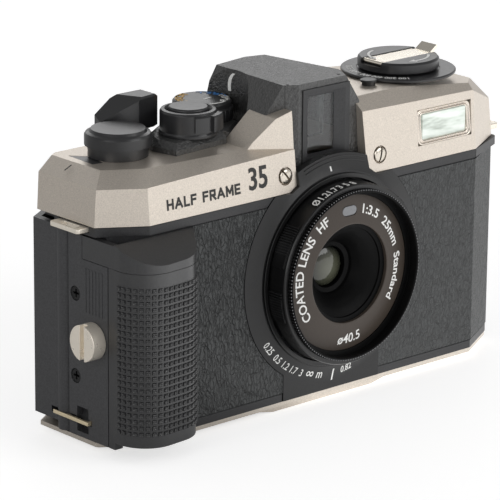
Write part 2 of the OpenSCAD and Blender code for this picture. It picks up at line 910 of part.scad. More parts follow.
module tab_sector(start, sweep, r) {
  translate([0, 0, 68.9])
    rotate([0, 0, start])
      rotate_extrude(angle = sweep, $fn = 96)
        polygon([[6.2, 0], [r, 0], [r, 3.5], [r - 0.3, 3.8], [6.2, 3.8]]);
}

module mode_dial() {
  color("#171719")
    difference() {
      translate([mode_x, mode_y, 0])
        rotate_extrude($fn = 120)
          polygon([[0, 58], [2.2, 58], [2.2, plinth_top + 0.05], [7.45, plinth_top + 0.05],
                   [7.45, 70.1], [7.0, 70.5], [7.0, 71.5], [6.6, 72.0], [0, 72.05]]);
      for (a = [0:12:348])
        translate([mode_x, mode_y, plinth_top - 0.5])
          rotate([0, 0, a])
            translate([7.6, 0, 0])
              cylinder(h = 3.4, r = 0.32, $fn = 16);
    }
}

module iso_dial() {
  color("#151517")
    translate([rewind_x, rewind_y, 0])
      rotate_extrude($fn = 128)
        polygon([[5.2, flash_deck + 0.05], [13.8, flash_deck + 0.05], [14.07, 72.1],
                 [14.07, 72.5], [13.8, 72.7], [10.2, 72.7], [10.2, 72.5], [5.2, 72.5]]);
}

module iso_lock_button() {
  color("#18181a")
    translate([lock_xy[0], lock_xy[1], 0])
      rotate_extrude($fn = 64)
        polygon([[0, 64], [1.6, 64], [1.6, flash_deck + 0.9], [2.1, flash_deck + 0.9],
                 [2.1, 73.0], [1.9, 73.2], [0, 73.2]]);
}

module rewind_knob() {
  color("#151517")
    difference() {
      translate([rewind_x, rewind_y, 0])
        rotate_extrude($fn = 128)
          polygon([[0, 55.2], [2.4, 55.2], [2.4, 72.6], [9.3, 72.6], [9.95, 73.2],
                   [9.95, 75.2], [9.5, 75.7], [0, 75.7]]);
      // bed for the folding crank
      translate([rewind_x - 20, rewind_y - 3.5, 74.5])
        cube([40, 7.0, 3]);
      // fork slot
      translate([rewind_x - 5, rewind_y - 0.6, 54])
        cube([10, 1.2, 4.5]);
      crank_hinge(0.55 + run, 4.6);
    }
}

module crank_hinge(r, half) {
  translate([rewind_x - 8.1, rewind_y + half, 75.07])
    rotate([90, 0, 0])
      cylinder(h = 2 * half, r = r, $fn = 48);
}

module rewind_crank() {
  color("#c8bba7")
    union() {
      crank_hinge(0.55, 4.4);
      translate([rewind_x - 8.1, rewind_y - 3.4, 74.62])
        cube([15.6, 6.8, 0.9]);
      translate([rewind_x + 7.3, rewind_y + 2.6, 0])
        rotate([90, 0, 0])
          linear_extrude(5.2)
            polygon([[0, 74.62], [1.2, 74.62], [3.7, 76.6], [3.2, 77.1], [0.9, 75.52],
                     [0, 75.52]]);
    }
}

// ---------- lens ----------

module focus_ring() {
  color("#121214")
    difference() {
      union() {
        lens_turn([[20.75, -21.0], [focus_r - 0.2, -21.0], [focus_r, -20.7],
                   [focus_r, -15.95], [20.75, -15.95]]);
        // grip tabs
        for (a = [150, 185, 30, -5])
          translate([lens_x, -16.2, lens_z])
            rotate([90, 0, 0])
              rotate([0, 0, a])
                rotate_extrude(angle = 16, $fn = 128)
                  polygon([[21.5, 0], [focus_r + 0.35, 0], [focus_r + 0.35, 4.0], [21.5, 4.0]]);
      }
      lens_disc(20.75, -40, 10);
    }
}

module lens_barrel() {
  color("#101012")
    lens_turn([[12.3, -19.0], [18.95, -18.7], [18.95, -19.3], [20.2, -19.4],
               [20.2, -20.1], [filter_r, -20.15], [filter_r, lens_front + 0.2],
               [20.2, lens_front], [20.35, lens_front], [20.45, lens_front + 0.1],
               [20.45, lens_front + 1.05], [20.65, lens_front + 1.1], [20.65, -17.8], [17.1, -17.8], [17.1, -8.4],
               [16.2, -8.4], [16.2, -17.6], [8.4, -11.4], [8.4, -10.9],
               [5.1, -10.9], [5.1, -12.6], [6.2, -12.9], [6.4, -13.6],
               [7.8, -15.6], [9.4, -17.2], [11.0, -18.2], [11.0, -18.7]]);
}

module meter_shape(grow, y0, y1) {
  for (x = [-1.1, 1.1])
    translate([lens_x + x, y1, lens_z + 15.3])
      rotate([90, 0, 0])
        cylinder(h = y1 - y0, r = 1.15 + grow, $fn = 48);
  box([lens_x - 1.1, y0, lens_z + 14.15 - grow], [lens_x + 1.1, y1, lens_z + 16.45 + grow]);
}

module beauty_ring() {
  color("#4a4038")
    difference() {
      lens_turn([[12.0, -19.05], [18.9, -18.75], [18.9, -18.95], [12.3, -20.0],
                 [12.0, -19.9]]);
      meter_shape(gap, -22, -19.25);
    }
}

module meter_window() {
  color("#6b6e73")
    meter_shape(0, -19.5, -19.3);
}

module front_element() {
  color("#5d6046")
    lens_turn([[0, -10.0], [5.05, -10.0], [5.05, -11.4], [4.2, -11.9], [3.0, -12.35],
               [1.6, -12.6], [0, -12.7]]);
}

module rear_element() {
  color("#5d6046")
    lens_turn([[0, -8.4], [5.05, -8.4], [5.05, -7.4], [3.5, -7.0], [1.8, -6.75], [0, -6.7]]);
}

// ---------- back door ----------

module door_plan(d) {
  polygon([[-66.3 + d, 7.3], [-66.3 + d, 15.0 - 0.4 * d], [-59.4 + 0.4 * d, 19.4 - d],
           [53.2 - 0.4 * d, 19.4 - d], [60.3 - d, 15.0 - 0.4 * d], [60.3 - d, 14.0]]);
}

module back_door() {
  color("#1a1a1c")
    difference() {
      union() {
        difference() {
          translate([0, 0, 4.4])
            linear_extrude(47.0)
              difference() {
                door_plan(0);
                door_plan(1.8);
              }
          box([-64.5, -10, 0], [70, 14.2, 60]);
          box([-70, -10, 0], [70, 7.5, 60]);
        }
        // hinge barrel and its web
        post(hinge_xy, 2.7, 51.3, hinge_r);
        box([-66.3, hinge_xy[1], 4.4], [-64.5, 8, 51.3]);
      }
      post(hinge_xy, 0, 60, pin_r + run);
      // room for the lower strap lug while the door swings
      difference() {
        post(hinge_xy, 6.05, 7.45, 4.3);
        post(hinge_xy, 6, 7.5, hinge_r);
      }
    }
}

module hinge_pin() {
  color("#3a3a3e")
    post(hinge_xy, base_top + 0.02, 52.0, pin_r);
}

module door_seal() {
  color("#0c0c0d")
    difference() {
      box([-57.6, 16.2, 6.4], [51.4, 17.55, 50.0]);
      box([-54.6, 10, 9.4], [48.4, 20, 47.0]);
    }
}

module memo_holder() {
  color("#121214")
    difference() {
      box([4, 19.5, 14], [50, 20.7, 44]);
      box([6, 19.9, 16], [48, 30, 50]);
      box([8, 19, 18], [46, 30, 40]);
    }
}

module pressure_plate() {
  color("#2b2b2e")
    union() {
      box([-20, 9.0, film_low + 1], [22, 10.2, film_high - 1]);
      box([-6, 10.1, 26], [8, 12.2, 40]);
    }
}

// ---------- film transport ----------

module sprocket() {
  color("#202023")
    translate([sprocket_xy[0], sprocket_xy[1], 0])
      union() {
        translate([0, 0, 5.2])
          cylinder(h = 48, r = 1.5, $fn = 48);
        translate([0, 0, 14])
          cylinder(h = 37, r = 5.2, $fn = 64);
        for (z = [16.2, 47.0])
          for (a = [0:45:315])
            rotate([0, 0, a])
              translate([4.9, -0.7, z])
                cube([1.5, 1.4, 1.8]);
      }
}

module take_up_spool() {
  color("#1f1f22")
    difference() {
      union() {
        post(lever_xy, 8.6, 52.0, 5.0);
        post(lever_xy, 8.6, 10.2, 8.0);
        post(lever_xy, 50.4, 52.0, 8.0);
      }
      for (a = [0:60:300])
        translate([lever_x, lever_y, 15])
          rotate([0, 0, a])
            translate([3.4, -0.8, 0])
              cube([4, 1.6, 32]);
    }
}

module rewind_release() {
  color("#2a2a2d")
    post(sprocket_xy, 0.9, 4.0, 2.1);
}

// ---------- assembly ----------

chassis();
film_chamber();
top_cover();
bottom_cover();
front_shell();
leather_grip_side();
leather_flash_side();
lens_panel();
index_ring();
lens_tube();
shutter_unit();
grip_shell();
grip_pad();
grip_cap();
side_screws();
front_screws();
base_screws();
strap_lug_top();
strap_lug_bottom();
strap_lug_right();
finder_cover();
finder_frame();
finder_window();
finder_optics();
eyepiece_frame();
eyepiece_lens();
flash_bezel();
flash_window();
flash_reflector();
flash_tube();
flash_capacitor();
circuit_board();
battery_cell();
control_plinth();
counter_window();
tripod_socket();
advance_lever();
shutter_button();
power_switch();
mode_dial();
iso_dial();
iso_lock_button();
rewind_knob();
rewind_crank();
focus_ring();
lens_barrel();
beauty_ring();
meter_window();
front_element();
rear_element();
back_door();
door_seal();
memo_holder();
pressure_plate();
battery_cover();
coin_screw();
hinge_pin();
sprocket();
take_up_spool();
rewind_release();
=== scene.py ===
import math

import bpy
from mathutils import Matrix, Vector


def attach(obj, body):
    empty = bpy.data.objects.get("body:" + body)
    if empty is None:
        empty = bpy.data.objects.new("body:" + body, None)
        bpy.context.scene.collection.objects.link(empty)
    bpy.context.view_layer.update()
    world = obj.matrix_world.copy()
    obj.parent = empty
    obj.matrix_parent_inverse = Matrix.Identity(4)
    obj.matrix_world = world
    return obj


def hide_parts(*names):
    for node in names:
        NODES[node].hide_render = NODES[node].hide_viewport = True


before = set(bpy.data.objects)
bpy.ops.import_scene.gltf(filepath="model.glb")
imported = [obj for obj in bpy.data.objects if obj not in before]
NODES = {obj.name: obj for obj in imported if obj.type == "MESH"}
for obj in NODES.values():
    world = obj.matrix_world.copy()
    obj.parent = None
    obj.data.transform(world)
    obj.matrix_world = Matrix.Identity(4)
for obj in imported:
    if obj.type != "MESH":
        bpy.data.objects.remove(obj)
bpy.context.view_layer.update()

# Places and sizes are in mm in the row frame: X right seen from the front, Y to the rear, Z up.
MM = 0.001
LX, LZ = 0.65, 32.6                 # lens axis, as x and z
KNOB, KNOB_TOP = (37.35, 2.8), 75.71        # rewind knob axis, as x and y, and the z of its top
ISO_TOP = 72.71                     # z of the film speed ring's top
MODE, MODE_TOP = (-18.05, 11.95), 72.06     # mode dial axis and the z of its top
PRINT = 0.03                        # thickness of a printed mark
LIFT = 0.01                         # gap that keeps a mark clear of the curved face under it
scene = bpy.context.scene
scene.view_settings.view_transform = "Standard"
scene.view_settings.look = "None"


# ---------------------------------------------------------------- materials

LOOKS = {}      # every material by the name that its Paint was given


class Paint:
    """A procedural material: a Principled shader with helpers for its node graph."""

    def __init__(self, name, color, rough, metal=0.0, specular=0.5, ior=1.5):
        self.mat = bpy.data.materials.new(name)
        LOOKS[name] = self.mat
        self.mat.use_nodes = True
        self.nodes = self.mat.node_tree.nodes
        self.links = self.mat.node_tree.links
        self.nodes.clear()
        self.out = self.nodes.new("ShaderNodeOutputMaterial")
        self.bsdf = self.nodes.new("ShaderNodeBsdfPrincipled")
        self.links.new(self.bsdf.outputs[0], self.out.inputs["Surface"])
        self.set("Base Color", (*color, 1))
        self.set("Roughness", rough)
        self.set("Metallic", metal)
        self.set("Specular IOR Level", specular)
        self.set("IOR", ior)
        self.color = color
        self.coord = self.nodes.new("ShaderNodeTexCoord").outputs["Object"]

    def set(self, socket, value):
        self.bsdf.inputs[socket].default_value = value

    def mapped(self, scale, rotation=(0, 0, 0)):
        n = self.nodes.new("ShaderNodeMapping")
        n.inputs["Scale"].default_value = scale
        n.inputs["Rotation"].default_value = rotation
        self.links.new(self.coord, n.inputs["Vector"])
        return n.outputs[0]

    def noise(self, scale, detail=2.0, rough=0.5, vector=None):
        n = self.nodes.new("ShaderNodeTexNoise")
        n.inputs["Scale"].default_value = scale
        n.inputs["Detail"].default_value = detail
        n.inputs["Roughness"].default_value = rough
        self.links.new(vector or self.coord, n.inputs["Vector"])
        return n.outputs["Fac"]

    def cells(self, scale, feature="F1", vector=None):
        n = self.nodes.new("ShaderNodeTexVoronoi")
        n.feature = feature
        n.inputs["Scale"].default_value = scale
        self.links.new(vector or self.coord, n.inputs["Vector"])
        return n.outputs["Distance"]

    def math(self, op, a, b=0.0, c=0.0):
        n = self.nodes.new("ShaderNodeMath")
        n.operation = op
        for socket, value in zip(n.inputs, (a, b, c)):
            if isinstance(value, (int, float)):
                socket.default_value = value
            else:
                self.links.new(value, socket)
        return n.outputs[0]

    def ramp(self, fac, stops):
        """A colour ramp through (position, grey level or colour) stops."""
        n = self.nodes.new("ShaderNodeValToRGB")
        e = n.color_ramp.elements
        while len(e) < len(stops):
            e.new(0.5)
        for el, (pos, value) in zip(e, stops):
            el.position = pos
            el.color = (value, value, value, 1) if isinstance(value, (int, float)) else (*value, 1)
        self.links.new(fac, n.inputs["Fac"])
        return n.outputs["Color"]

    def vary_color(self, fac, low, high):
        """Base colour runs from low to high times the paint's own colour."""
        stops = [(0.25, tuple(low * c for c in self.color)), (0.75, tuple(high * c for c in self.color))]
        self.links.new(self.ramp(fac, stops), self.bsdf.inputs["Base Color"])

    def vary_rough(self, fac, low, high):
        n = self.nodes.new("ShaderNodeMapRange")
        n.inputs["To Min"].default_value = low
        n.inputs["To Max"].default_value = high
        n.inputs["From Min"].default_value = 0.25
        n.inputs["From Max"].default_value = 0.75
        self.links.new(fac, n.inputs["Value"])
        self.links.new(n.outputs[0], self.bsdf.inputs["Roughness"])

    def bump(self, height, strength, depth_mm):
        n = self.nodes.new("ShaderNodeBump")
        n.inputs["Strength"].default_value = strength
        n.inputs["Distance"].default_value = depth_mm * MM
        self.links.new(height, n.inputs["Height"])
        self.links.new(n.outputs[0], self.bsdf.inputs["Normal"])


def champagne_paint():
    p = Paint("champagne_paint", (0.64, 0.58, 0.51), 0.36, metal=0.8)
    flake = p.noise(3600, 2.0, 0.6)
    p.vary_color(flake, 0.84, 1.14)
    p.vary_rough(p.noise(1500, 2.0), 0.36, 0.44)
    p.bump(p.noise(3000, 2.0, 0.6), 0.25, 0.02)


def plated(name, color, rough, lines=False, metal=1.0):
    """Smooth metal, with fine brushed lines if asked."""
    p = Paint(name, color, rough, metal=metal)
    vector = p.mapped((60, 60, 3500)) if lines else None
    brushed = p.noise(1.0 if lines else 420, 2.0, 0.5, vector=vector)
    p.vary_color(brushed, 0.97, 1.03)
    p.vary_rough(brushed, rough * 0.95, rough * 1.05)
    p.bump(brushed, 0.02, 0.003)


def grained_black(name, level, rough, scale, strength, depth, spec=0.4, metal=0.0, contrast=0.3):
    """Black plastic, rubber or paint with a fine grain; level is how light it is."""
    p = Paint(name, (level, level * 1.005, level * 1.06), rough, metal=metal, specular=spec)
    grain = p.noise(scale, 2.0, 0.6)
    p.vary_color(grain, 1 - contrast, 1 + contrast)
    p.vary_rough(p.noise(scale * 0.35, 2.0), rough * 0.93, rough * 1.08)
    p.bump(grain, strength, depth)


def wrinkle_black(name, level, scale):
    """Wrinkle finish: fine hard bumps that sparkle."""
    p = Paint(name, (level, level, level * 0.99), 0.34, specular=0.7)
    bumps = p.cells(scale, "F1")
    grain = p.noise(scale * 0.8, 2.0, 0.6)
    height = p.math("MULTIPLY_ADD", grain, 0.9, p.math("MULTIPLY", bumps, -0.8))
    p.vary_color(grain, 0.45, 1.7)
    p.vary_rough(grain, 0.28, 0.46)
    p.bump(height, 1.0, 0.13)


def leather(name, scale, depth):
    """Pressed leather: slanting creases between soft uneven pebbles."""
    p = Paint(name, (0.036, 0.038, 0.0385), 0.5, specular=0.45)
    # the cells' places are pushed about by a slow noise, so that no crease runs straight
    n = p.nodes.new("ShaderNodeTexNoise")
    n.inputs["Scale"].default_value = scale * 0.42
    n.inputs["Detail"].default_value = 3
    p.links.new(p.coord, n.inputs["Vector"])
    shift = p.nodes.new("ShaderNodeVectorMath")
    shift.operation = "SCALE"
    shift.inputs["Scale"].default_value = 2.4 / scale
    p.links.new(n.outputs["Color"], shift.inputs[0])
    warp = p.nodes.new("ShaderNodeVectorMath")
    warp.operation = "ADD"
    p.links.new(p.mapped((1.25, 1.0, 0.52), (0, -0.62, 0)), warp.inputs[0])
    p.links.new(shift.outputs[0], warp.inputs[1])
    small = p.ramp(p.cells(scale, "DISTANCE_TO_EDGE", warp.outputs[0]),
                   [(0.0, 0.0), (0.16, 0.7), (0.4, 1.0)])
    large = p.ramp(p.cells(scale * 0.4, "DISTANCE_TO_EDGE", warp.outputs[0]),
                   [(0.0, 0.0), (0.12, 1.0)])
    swell = p.noise(scale * 0.5, 3.0, 0.55)
    fine = p.noise(scale * 4.5, 3.0, 0.6)
    height = p.math("MULTIPLY", small, 0.42)
    height = p.math("MULTIPLY_ADD", large, 0.22, height)
    height = p.math("MULTIPLY_ADD", swell, 0.55, height)
    height = p.math("MULTIPLY_ADD", fine, 0.16, height)
    # the base colour follows the height: the creases are darker as painted shade and the pebble tops
    # lighter, while the noise in it gives random tone
    p.vary_color(p.math("MULTIPLY", height, 0.85), 0.25, 1.35)
    p.vary_rough(fine, 0.44, 0.60)
    p.bump(height, 1.0, depth)


def solid(name, color, rough=0.5, spec=0.4):
    """One plain colour with a trace of grain."""
    p = Paint(name, color, rough, specular=spec)
    grain = p.noise(2500, 2.0)
    p.vary_color(grain, 0.93, 1.06)
    p.bump(grain, 0.05, 0.01)


def clear(name, tint, rough):
    """Clear glass."""
    p = Paint(name, tint, rough, ior=1.45)
    p.set("Transmission Weight", 1.0)
    p.vary_rough(p.noise(300, 2.0), rough, rough * 1.8 + 0.005)


def flash_glass():
    """Ribbed flash lens: pale green glass with painted streaks of reflection from the reflector behind it,
    and a faint painted glow.
    """
    p = Paint("flash_lens", (0.80, 0.88, 0.80), 0.12, ior=1.46)
    p.set("Transmission Weight", 0.25)
    ribs = p.nodes.new("ShaderNodeTexWave")
    ribs.bands_direction = "X"
    ribs.inputs["Scale"].default_value = 520
    ribs.inputs["Distortion"].default_value = 1.5
    p.links.new(p.coord, ribs.inputs["Vector"])
    # the bright streaks in the base colour are a painted reflection of the reflector
    painted_reflection_streak = p.noise(1.0, 3.0, 0.6, vector=p.mapped((90, 60, 420), (0, 0.12, 0)))
    painted_reflection_tones = p.ramp(painted_reflection_streak, [(0.34, (0.36, 0.40, 0.35)), (0.50, (0.74, 0.80, 0.74)),
                            (0.66, (0.97, 1.0, 0.97))])
    p.links.new(painted_reflection_tones, p.bsdf.inputs["Base Color"])
    # the emission is a painted glow; the lens is no lamp
    p.set("Emission Color", (0.93, 1.0, 0.93, 1))
    p.set("Emission Strength", 0.12)
    p.bump(ribs.outputs["Fac"], 0.3, 0.05)


def coated_glass_painted_reflection():
    """Front element: dark glass with an olive coating, and a painted reflection that is brightest near the
    middle and fades towards its rim.
    """
    middle, rim = Vector((LX + 0.2, -11.5, LZ - 0.4)) * MM, 5.4 * MM
    p = Paint("coated_glass_painted_reflection", (0.05, 0.055, 0.03), 0.10, specular=0.5)
    reach = p.nodes.new("ShaderNodeVectorMath")
    reach.operation = "DISTANCE"
    reach.inputs[1].default_value = middle
    p.links.new(p.coord, reach.inputs[0])
    # the base colour is a painted reflection: light olive near the middle, nearly black at the rim
    painted_reflection_tones = p.ramp(p.math("MULTIPLY", reach.outputs["Value"], 1 / rim),
                   [(0.1, (0.115, 0.12, 0.085)), (0.55, (0.06, 0.062, 0.042)),
                    (0.95, (0.008, 0.009, 0.008))])
    p.links.new(painted_reflection_tones, p.bsdf.inputs["Base Color"])
    p.vary_rough(p.noise(400, 1.0), 0.04, 0.08)
    p.set("Coat Weight", 0.25)
    p.set("Coat Roughness", 0.03)


champagne_paint()
plated("champagne_metal", (0.90, 0.83, 0.72), 0.28, metal=0.5)
plated("bezel_metal", (0.66, 0.60, 0.53), 0.22)
plated("screw_metal", (0.60, 0.55, 0.48), 0.24)
plated("crank_metal", (0.84, 0.78, 0.68), 0.2)
plated("gold_metal", (0.90, 0.76, 0.52), 0.2, metal=0.7)
plated("bare_steel", (0.6, 0.6, 0.61), 0.3, lines=True)
plated("bright_reflector", (0.93, 0.96, 0.93), 0.12)
leather("leather_coarse", 900, 0.62)
leather("leather_fine", 1150, 0.30)
grained_black("black_shell", 0.027, 0.42, 2600, 0.12, 0.02)
# a lighter copy of black_shell for the side wall: painted light, standing for the light that falls on that
# side
grained_black("side_black_painted_lighter", 0.048, 0.42, 2600, 0.12, 0.02)
grained_black("grip_rubber", 0.022, 0.34, 2400, 0.15, 0.02, spec=0.8)
wrinkle_black("textured_black", 0.036, 1900)
grained_black("control_black", 0.022, 0.30, 2200, 0.012, 0.004, spec=0.5, contrast=0.04)
grained_black("lens_black", 0.0045, 0.30, 3000, 0.06, 0.01, spec=0.45)
grained_black("lens_inner", 0.0022, 0.5, 3000, 0.05, 0.01, spec=0.1, contrast=0.1)
plated("rim_metal", (0.16, 0.16, 0.165), 0.3)
# lighter than lens_black: a painted highlight along the focus ring's ribs
grained_black("rib_black_painted_highlight", 0.012, 0.3, 3000, 0.05, 0.01, spec=0.7)
grained_black("panel_black", 0.0085, 0.38, 2800, 0.10, 0.015)
grained_black("black_steel", 0.010, 0.28, 2000, 0.05, 0.01, metal=0.3)
solid("brown_face", (0.052, 0.041, 0.033), 0.42, spec=0.3)
grained_black("inner_plastic", 0.02, 0.5, 1800, 0.2, 0.02)
grained_black("foam", 0.008, 0.85, 1200, 0.8, 0.1)
solid("electronics", (0.05, 0.14, 0.07), 0.45)
solid("cell_sleeve", (0.06, 0.12, 0.26), 0.35)
solid("capacitor_sleeve", (0.02, 0.022, 0.03), 0.35)
solid("white_mark", (0.82, 0.82, 0.80), 0.5)
solid("dark_mark", (0.022, 0.021, 0.020), 0.45)
solid("yellow_mark", (0.62, 0.36, 0.06), 0.5)
solid("blue_mark", (0.06, 0.22, 0.55), 0.5)
clear("finder_glass", (0.86, 0.88, 0.90), 0.015)
clear("eyepiece_glass", (0.85, 0.87, 0.9), 0.02)
clear("prism_glass", (0.8, 0.86, 0.84), 0.03)
solid("meter_glass", (0.17, 0.175, 0.185), 0.18, spec=0.7)
flash_glass()
clear("tube_glass", (0.95, 1.0, 0.97), 0.03)
coated_glass_painted_reflection()

# The nodes that wear each paint.
NODE_LOOK = {
    "champagne_paint": ["top_cover", "bottom_cover", "flash_bezel"],
    "champagne_metal": ["strap_lug_top", "strap_lug_right", "coin_screw"],
    "screw_metal": ["front_screws"],
    "crank_metal": ["rewind_crank"],
    "gold_metal": ["strap_lug_bottom"],
    "bare_steel": ["tripod_socket", "pressure_plate", "hinge_pin"],
    "bright_reflector": ["flash_reflector"],
    "leather_coarse": ["leather_grip_side"],
    "leather_fine": ["leather_flash_side"],
    "black_shell": ["chassis", "film_chamber", "front_shell", "memo_holder", "finder_frame",
                    "eyepiece_frame", "lens_tube", "shutter_unit"],
    # the back door and battery cover wear the lighter copy of black, a painted light on the side wall
    "side_black_painted_lighter": ["back_door", "battery_cover"],
    "grip_rubber": ["grip_shell", "grip_pad", "grip_cap"],
    "textured_black": ["finder_cover", "control_plinth"],
    "control_black": ["advance_lever", "shutter_button", "power_switch", "mode_dial",
                      "iso_dial", "iso_lock_button", "rewind_knob", "counter_window"],
    "lens_black": ["index_ring", "focus_ring"],
    "lens_inner": ["lens_barrel"],
    "panel_black": ["lens_panel"],
    "black_steel": ["side_screws", "base_screws"],
    "brown_face": ["beauty_ring"],
    "inner_plastic": ["sprocket", "take_up_spool", "rewind_release"],
    "foam": ["door_seal"],
    "electronics": ["circuit_board"],
    "cell_sleeve": ["battery_cell"],
    "capacitor_sleeve": ["flash_capacitor"],
    "finder_glass": ["finder_window"],
    "eyepiece_glass": ["eyepiece_lens"],
    "prism_glass": ["finder_optics"],
    "meter_glass": ["meter_window"],
    "flash_lens": ["flash_window"],
    "tube_glass": ["flash_tube"],
    "coated_glass_painted_reflection": ["front_element", "rear_element"],
}

# Edge rounding in mm; every other node gets DEFAULT_EDGE.
DEFAULT_EDGE = 0.12
EDGE = {
    "top_cover": 0.42, "bottom_cover": 0.2, "finder_cover": 0.32, "grip_shell": 0.3,
    "grip_cap": 0.35, "back_door": 0.3, "control_plinth": 0.25,
    "advance_lever": 0.22, "power_switch": 0.15, "strap_lug_top": 0.22,
    "strap_lug_right": 0.3, "strap_lug_bottom": 0.15, "flash_bezel": 0.22,
    "front_shell": 0.15, "lens_panel": 0.1, "rewind_crank": 0.15, "coin_screw": 0.15,
    "eyepiece_frame": 0.4, "chassis": 0.1, "leather_flash_side": 0.08,
    "leather_grip_side": 0.08, "shutter_unit": 0.05, "front_element": 0.0, "rear_element": 0.0,
}


WELD = 0.004            # vertices closer than this are one
FLAT_ANGLE = 0.4        # faces this close to level, in degrees, are joined
EDGE_ANGLE = 14         # an edge sharper than this, in degrees, is rounded


def dress(obj, material, edge_mm):
    """Gives a node its material, rounded edges and smooth shading."""
    mesh = obj.data
    mesh.materials.clear()
    mesh.materials.append(material)
    mesh.polygons.foreach_set("material_index", [0] * len(mesh.polygons))
    mesh.polygons.foreach_set("use_smooth", [True] * len(mesh.polygons))
    custom = mesh.attributes.get("custom_normal")
    if custom is not None:
        mesh.attributes.remove(custom)
    weld = obj.modifiers.new("weld", "WELD")
    weld.merge_threshold = WELD * MM
    flat = obj.modifiers.new("flat", "DECIMATE")
    flat.decimate_type = "DISSOLVE"
    flat.angle_limit = math.radians(FLAT_ANGLE)
    if edge_mm > 0:
        bevel = obj.modifiers.new("bevel", "BEVEL")
        bevel.width = edge_mm * MM
        bevel.segments = 4
        bevel.limit_method = "ANGLE"
        bevel.angle_limit = math.radians(EDGE_ANGLE)
        bevel.use_clamp_overlap = True
        bevel.miter_outer = "MITER_ARC"
    soft = obj.modifiers.new("soft", "WEIGHTED_NORMAL")
    soft.weight = 60
    soft.keep_sharp = False


for look, members in NODE_LOOK.items():
    for member in members:
        dress(NODES[member], LOOKS[look], EDGE.get(member, DEFAULT_EDGE))


# ---------------------------------------------------------------- mesh helpers

def piece(name, verts, faces, look, body, smooth=False):
    """A new mesh piece that rides on a body; vertices are in mm in the row frame."""
    mesh = bpy.data.meshes.new(name)
    mesh.from_pydata([tuple(c * MM for c in v) for v in verts], [], faces)
    mesh.validate()
    obj = bpy.data.objects.new(name, mesh)
    scene.collection.objects.link(obj)
    mesh.materials.append(LOOKS[look])
    if smooth:
        mesh.polygons.foreach_set("use_smooth", [True] * len(mesh.polygons))
    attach(obj, body)
    return obj


class Build:
    """Collects vertices and faces in mm."""

    def __init__(self):
        self.verts = []
        self.faces = []

    def add(self, verts, faces):
        base = len(self.verts)
        self.verts += [tuple(v) for v in verts]
        self.faces += [tuple(base + i for i in f) for f in faces]

    def prism(self, points, lift):
        """Closed plate: points is an outline on a surface, lift the offset to its top."""
        n = len(points)
        top = [Vector(p) + Vector(lift) for p in points]
        self.add([*points, *top],
                 [tuple(range(n))[::-1], tuple(range(n, 2 * n))]
                 + [(i, (i + 1) % n, n + (i + 1) % n, n + i) for i in range(n)])

    def ribbon(self, path, width, lift, across):
        """Raised line of constant width along path; across is the in-surface side direction."""
        rows = []
        up = Vector(lift)
        for i, p in enumerate(path):
            side = Vector(across[i]) * width / 2
            c = Vector(p)
            rows.append([c - side, c + side, c + side + up, c - side + up])
        faces = []
        for i in range(len(rows) - 1):
            for k in range(4):
                a, b = 4 * i + k, 4 * i + (k + 1) % 4
                faces.append((a, b, b + 4, a + 4))
        last = 4 * (len(rows) - 1)
        faces += [(3, 2, 1, 0), (last, last + 1, last + 2, last + 3)]
        self.add([v for r in rows for v in r], faces)

    def make(self, name, look, body, smooth=False):
        return piece(name, self.verts, self.faces, look, body, smooth)


FONT_SIZE = 1.42        # the built-in font's size over the height of its capitals


def letters(text, height, bold):
    """Flat outline mesh of text, centred on x with its baseline at y 0, in mm."""
    curve = bpy.data.curves.new("letters", "FONT")
    curve.body = text
    curve.size = height * FONT_SIZE
    curve.align_x = "CENTER"
    curve.resolution_u = 3
    curve.offset = bold
    obj = bpy.data.objects.new("letters", curve)
    scene.collection.objects.link(obj)
    bpy.context.view_layer.update()
    mesh = bpy.data.meshes.new_from_object(obj.evaluated_get(bpy.context.evaluated_depsgraph_get()))
    verts = [(v.co.x, v.co.y) for v in mesh.vertices]
    faces = [tuple(p.vertices) for p in mesh.polygons]
    bpy.data.objects.remove(obj)
    bpy.data.meshes.remove(mesh)
    bpy.data.curves.remove(curve)
    return verts, faces


def plate_letters(build, text, height, place, bold, thick=PRINT, stretch=1.0):
    """Adds thin raised letters; place(x, y, lift) gives the 3-D point."""
    verts, faces = letters(text, height, bold)
    n = len(verts)
    low = [place(x * stretch, y, 0.0) for x, y in verts]
    top = [place(x * stretch, y, thick) for x, y in verts]
    count = {}
    for f in faces:
        for a, b in zip(f, f[1:] + f[:1]):
            count[(a, b)] = count.get((a, b), 0) + 1
    rim = [(a, b) for a, b in count if (b, a) not in count]
    build.add(low + top, [tuple(n + i for i in f) for f in faces]
              + [tuple(reversed(f)) for f in faces] + [(a, b, n + b, n + a) for a, b in rim])


def around_lens(radius, degrees, y):
    """A point about the lens axis; the angle runs from +X up to +Z."""
    a = math.radians(degrees)
    return (LX + radius * math.cos(a), y, LZ + radius * math.sin(a))


def ring_place(radius, middle, depth, inward=False):
    """Text round the lens. depth(r) is the surface's y; inward text reads along the bottom."""
    def place(x, y, lift):
        if inward:
            r = radius - y
            a = middle + math.degrees(x / radius)
        else:
            r = radius + y
            a = middle - math.degrees(x / radius)
        return around_lens(r, a, depth(r) - lift)
    return place


# ---------------------------------------------------------------- cover markings

COVER_FOOT = (-14, 53.6)        # y and z of the lower edge of the top cover's front
COVER_RISE = 8.6                # the front leans back 1 in this
COVER_GAP = 0.005               # gap between a mark and that front


def cover_front(z):
    """y of the top cover's front at height z."""
    return COVER_FOOT[0] + (z - COVER_FOOT[1]) / COVER_RISE


